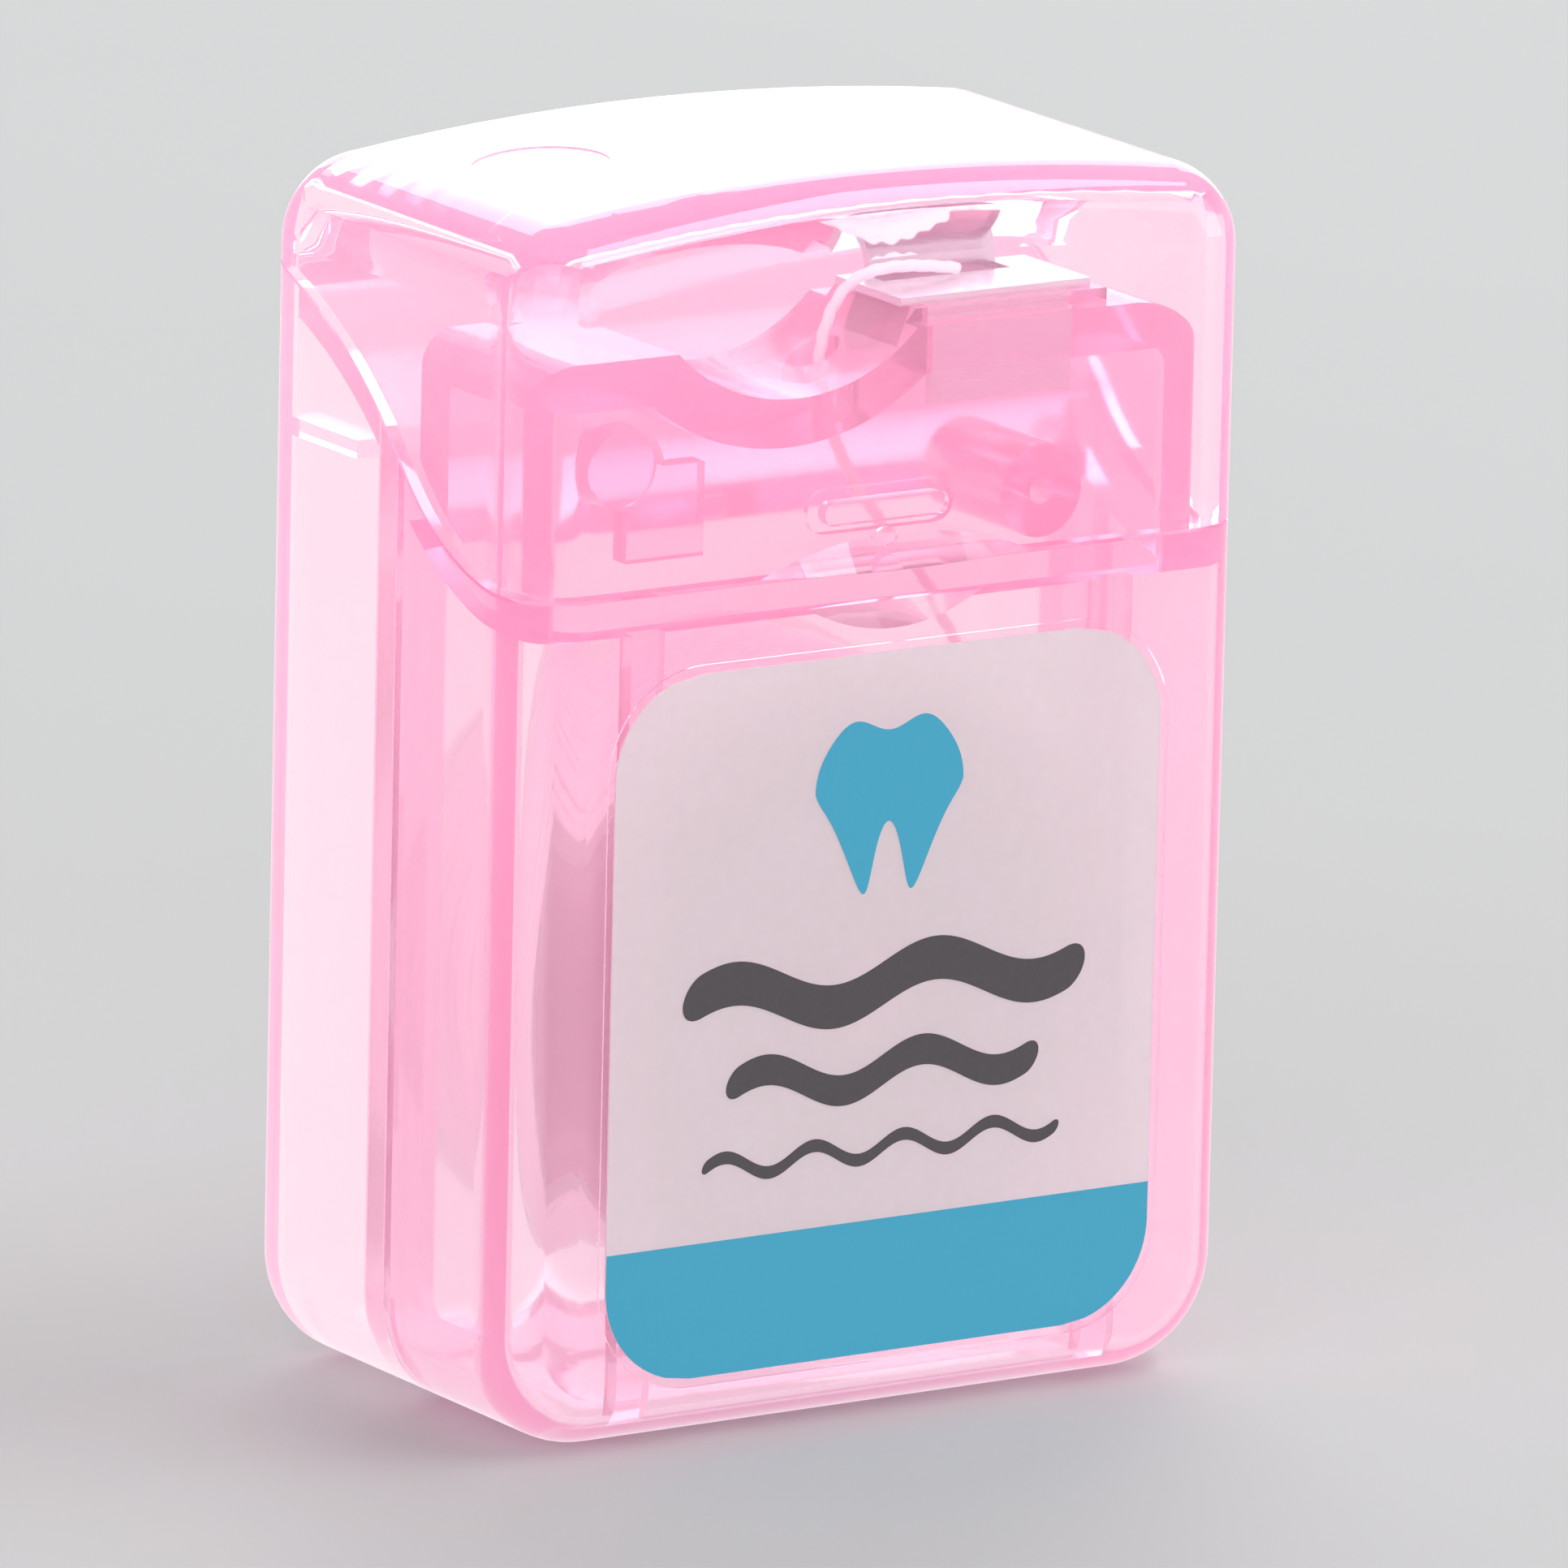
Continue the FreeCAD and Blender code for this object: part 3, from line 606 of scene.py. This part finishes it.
# Studio
# A wide pale grey floor in a pale surround, with soft lamps on the left, on the right, overhead and behind.
# The one overhead gleams along the lid's front edge, and the one behind on its top. Metal and clear plastic
# see white below and round them, as in a light tent.
floor_reach = 4.0
floor_tone = (0.44, 0.445, 0.45, 1.0)
floor_shade = (0.46, 0.465, 0.47, 1.0)
floor_cloud = 40 * mm
floor_gloss = 0.7
surround_light = 0.66
surround_seen = 1.0


def any_ray(tree, names):
    """1 where the ray is one of the named kinds, else 0."""
    path = tree.nodes.new("ShaderNodeLightPath")
    total = path.outputs[names[0]]
    for name in names[1:]:
        either = tree.nodes.new("ShaderNodeMath")
        either.operation = "MAXIMUM"
        tree.links.new(total, either.inputs[0])
        tree.links.new(path.outputs[name], either.inputs[1])
        total = either.outputs[0]
    return total


floor_span = (-floor_reach, floor_reach)
floor_points = np.stack(np.meshgrid(floor_span, floor_span, (0.0,)), axis=-1)
floor = lay_skin("floor", floor_points[:, :, 0])
floor_paint, tree, shader, place = new_material("floor_paint")
tree.links.new(blend_colours(tree, noise(tree, place, floor_cloud), floor_tone, floor_shade),
               shader.inputs["Base Color"])
shader.inputs["Roughness"].default_value = floor_gloss
glow = tree.nodes.new("ShaderNodeEmission")
glow.inputs["Strength"].default_value = surround_seen
either = tree.nodes.new("ShaderNodeMixShader")
tree.links.new(any_ray(tree, ["Is Glossy Ray", "Is Transmission Ray"]), either.inputs[0])
tree.links.new(shader.outputs["BSDF"], either.inputs[1])
tree.links.new(glow.outputs["Emission"], either.inputs[2])
tree.links.new(either.outputs["Shader"], tree.nodes["Material Output"].inputs["Surface"])
floor.data.materials.append(floor_paint)

world = bpy.data.worlds.new("white_surround")
world.use_nodes = True
surround = world.node_tree.nodes["Background"]
surround.inputs["Color"].default_value = (1.0, 1.0, 1.0, 1.0)
mirrored = any_ray(world.node_tree, ["Is Glossy Ray", "Is Transmission Ray"])
world.node_tree.links.new(ranged(world.node_tree, mirrored, surround_light, surround_seen),
                          surround.inputs["Strength"])
bpy.context.scene.world = world


def facing(away):
    """Rotation whose third axis points away along the vector and whose first axis is level."""
    third = away / np.linalg.norm(away)
    first = np.cross((0.0, 0.0, 1.0), third)
    first /= np.linalg.norm(first)
    return np.stack([first, np.cross(third, first), third], axis=1)


def soft_lamp(name, place, width, height, power):
    """A lamp that faces the object, and that the camera doesn't see."""
    data = bpy.data.lights.new(name, "AREA")
    data.shape = "RECTANGLE"
    data.size = width
    data.size_y = height
    data.energy = power
    lamp = bpy.data.objects.new(name, data)
    lamp.visible_camera = False
    bpy.context.scene.collection.objects.link(lamp)
    lamp.matrix_world = Matrix.Translation(place) @ Matrix(facing(np.array(place)).tolist()).to_4x4()


soft_lamp("lamp_left", (-1.0, -1.0, 0.8), 1.5, 1.3, 8.5)
soft_lamp("lamp_right", (1.2, -0.6, 0.5), 0.8, 1.0, 4.0)
soft_lamp("lamp_overhead", (0.5, -0.3, 1.0), 0.9, 0.3, 4.2)
soft_lamp("lamp_behind", (0.75, 1.15, 0.5), 1.2, 1.0, 8.0)

# Camera
# It stands in front on the left, a little above the object, and is rolled slightly. The pixel is where the
# middle of the roll's axis lies in the square picture.
view_turn = math.radians(32.8)
view_drop = math.radians(13.4)
view_roll = math.radians(1.3)
view_distance = 802 * mm
photo_side = 1932
photo_scale = 32.4 / mm
aim_point = np.array((0.0, 0.45, 16.0)) * mm
aim_pixel = (922, 1175)
sensor_width = 36.0

level_right = np.array((math.cos(view_turn), -math.sin(view_turn), 0.0))
ahead = np.array((math.sin(view_turn) * math.cos(view_drop), math.cos(view_turn) * math.cos(view_drop),
                  -math.sin(view_drop)))
level_up = np.cross(level_right, ahead)
picture_right = math.cos(view_roll) * level_right + math.sin(view_roll) * level_up
picture_up = math.cos(view_roll) * level_up - math.sin(view_roll) * level_right
eye = (aim_point - picture_right * (aim_pixel[0] - photo_side / 2) / photo_scale
       + picture_up * (aim_pixel[1] - photo_side / 2) / photo_scale - ahead * view_distance)
camera_data = bpy.data.cameras.new("camera")
camera_data.sensor_width = sensor_width
camera_data.lens = view_distance * photo_scale / photo_side * sensor_width
camera_data.clip_end = 10.0
camera = bpy.data.objects.new("camera", camera_data)
bpy.context.scene.collection.objects.link(camera)
turn = np.stack([picture_right, picture_up, -ahead], axis=1)
camera.matrix_world = Matrix.Translation(eye) @ Matrix(turn.tolist()).to_4x4()
bpy.context.scene.camera = camera
bpy.context.scene.view_settings.view_transform = "Standard"

# Light crosses a dozen walls and is guided along them, so it may bounce often, and the glass isn't blurred
bounces = bpy.context.scene.cycles
bounces.max_bounces = 72
bounces.transmission_bounces = 72
bounces.glossy_bounces = 72
bounces.diffuse_bounces = 8
bounces.volume_bounces = 12
bounces.blur_glossy = 0.0
